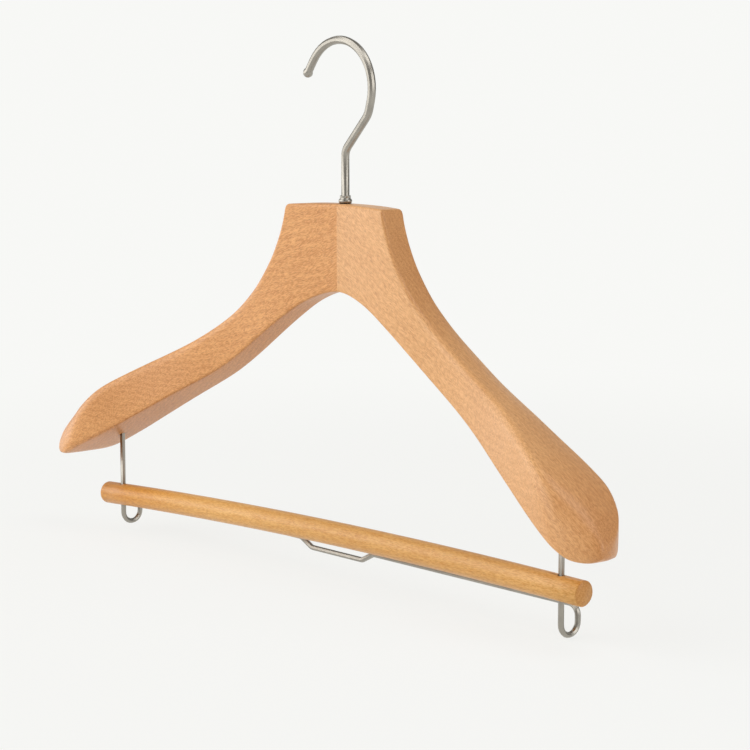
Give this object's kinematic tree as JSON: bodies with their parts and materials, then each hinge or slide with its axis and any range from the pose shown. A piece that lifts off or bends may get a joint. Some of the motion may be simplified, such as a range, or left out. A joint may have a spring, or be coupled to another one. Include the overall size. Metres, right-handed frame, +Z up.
{
  "type": "suit hanger",
  "caption": "Wooden suit hanger with contoured arms, a swivel steel hook and a round trouser bar that slides on a bent steel wire",
  "frame": {"origin": "the hang point: the middle of the inner top of the hook's bend, where the rail touches it", "axes": "+X along the hanger to the wearer's left arm, +Y to the back, +Z up"},
  "size_m": [0.438, 0.0523, 0.2932],
  "materials": {
    "arm_beech": "satin clear lacquer on beech, fine dark flecks, grain along the arms",
    "bar_beech": "satin clear lacquer on a turned rod, pale end grain",
    "dowel_beech": "bare fluted dowel, hidden",
    "satin_steel": "satin nickel-plated steel wire and fittings"
  },
  "bodies": {
    "hook_body": {"hook": "satin_steel", "retaining_washer": "satin_steel"},
    "hanger_body": {"left_arm": "arm_beech", "right_arm": "arm_beech", "joint_dowel_upper": "dowel_beech", "joint_dowel_lower": "dowel_beech", "hook_collar": "satin_steel", "swivel_sleeve": "satin_steel", "bar_wire": "satin_steel"},
    "trouser_bar": {"trouser_bar": "bar_beech"}
  },
  "joints": [
    {"name": "hook_swivel", "type": "hinge", "parent": "hook_body", "child": "hanger_body", "pos_m": [0.0047, 0, -0.08505], "axis": [0, 0, 1], "continuous": true},
    {"name": "bar_slide", "type": "slide", "parent": "hanger_body", "child": "trouser_bar", "axis": [0, 0, 1], "range_m": [-0.006, 0.019]}
  ]
}
